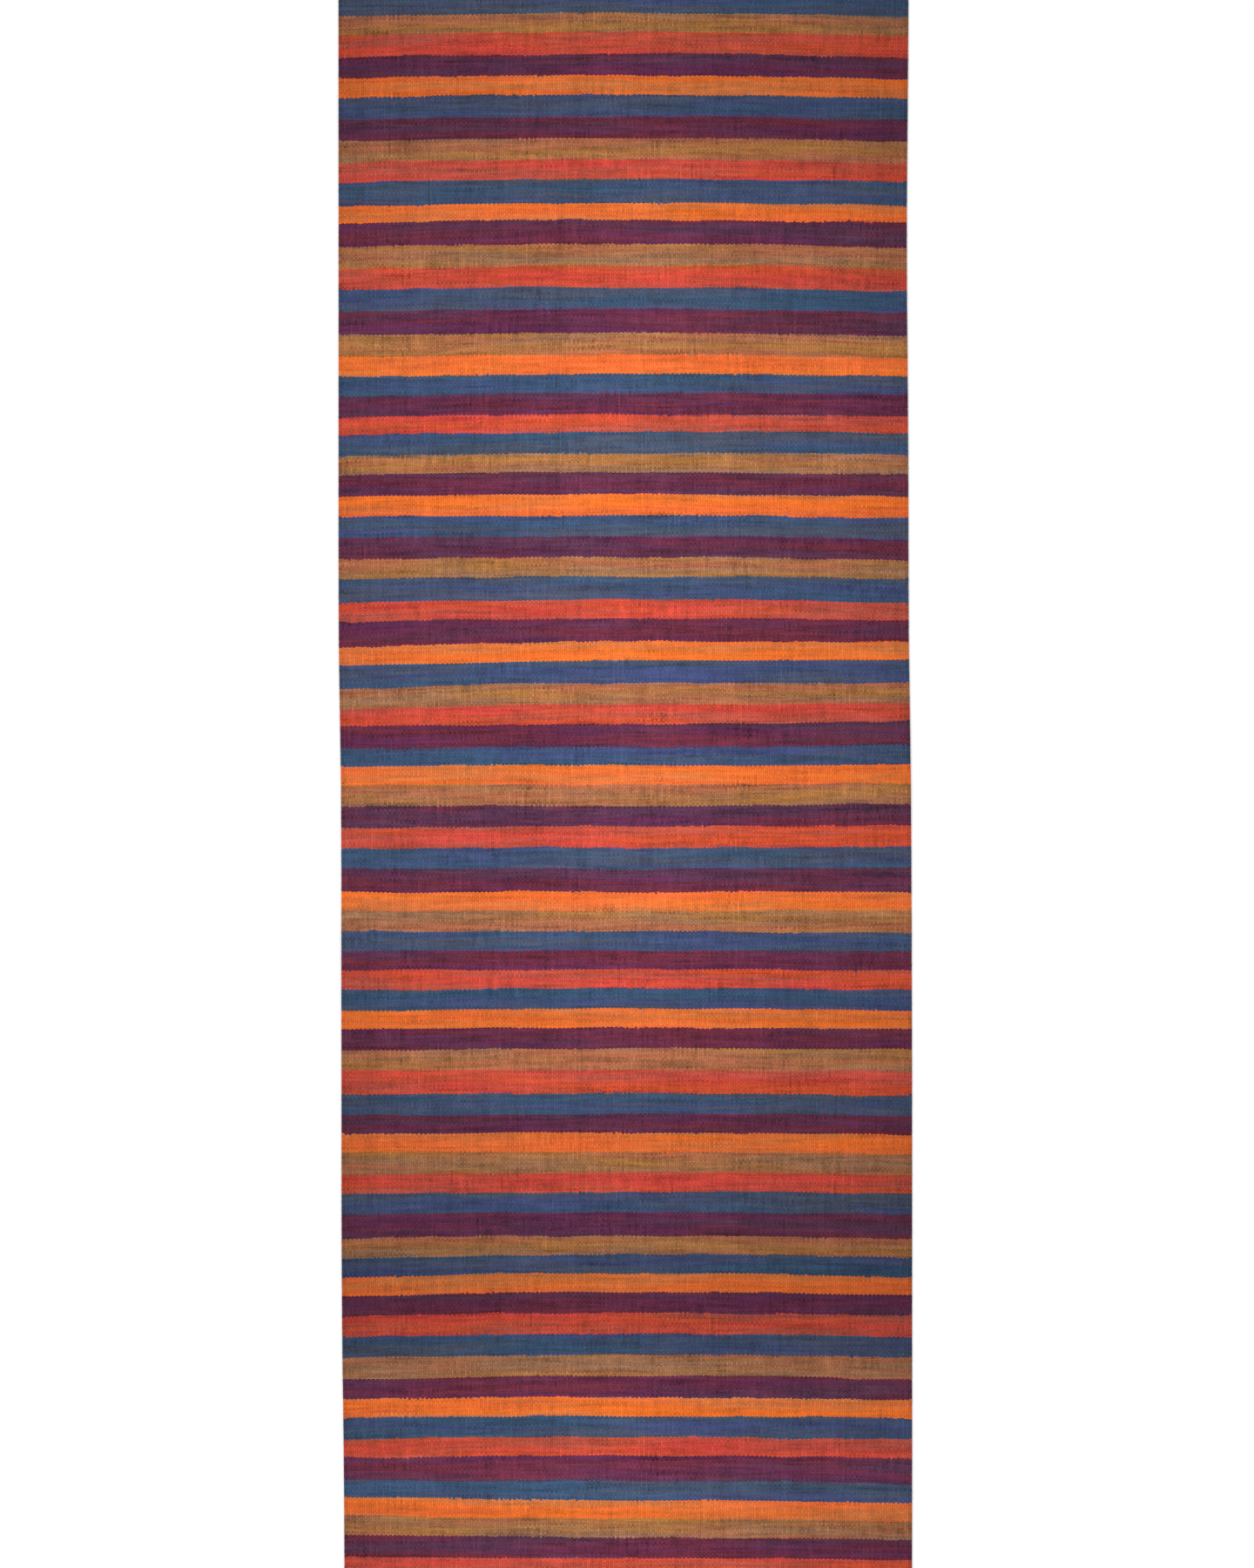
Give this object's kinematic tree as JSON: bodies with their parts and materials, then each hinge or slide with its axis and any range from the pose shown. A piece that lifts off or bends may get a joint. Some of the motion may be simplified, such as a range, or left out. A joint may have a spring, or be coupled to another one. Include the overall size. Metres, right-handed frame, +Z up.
{
  "type": "striped kilim runner",
  "caption": "Long flatwoven wool floor runner in narrow cross stripes of blue, tan, red, purple and orange, lying flat, with plain selvedges and turned ends.",
  "frame": {"origin": "under the middle of the runner, on the floor", "axes": "+Z up, +Y along the warp towards the far end, +X across the weave"},
  "size_m": [0.805, 2.5, 0.0064],
  "materials": {
    "wool_weave": "matte weft-faced wool in plain stripes of five dyes; the colour given is their mean"
  },
  "bodies": {
    "root": {"kilim": "wool_weave"}
  },
  "joints": []
}
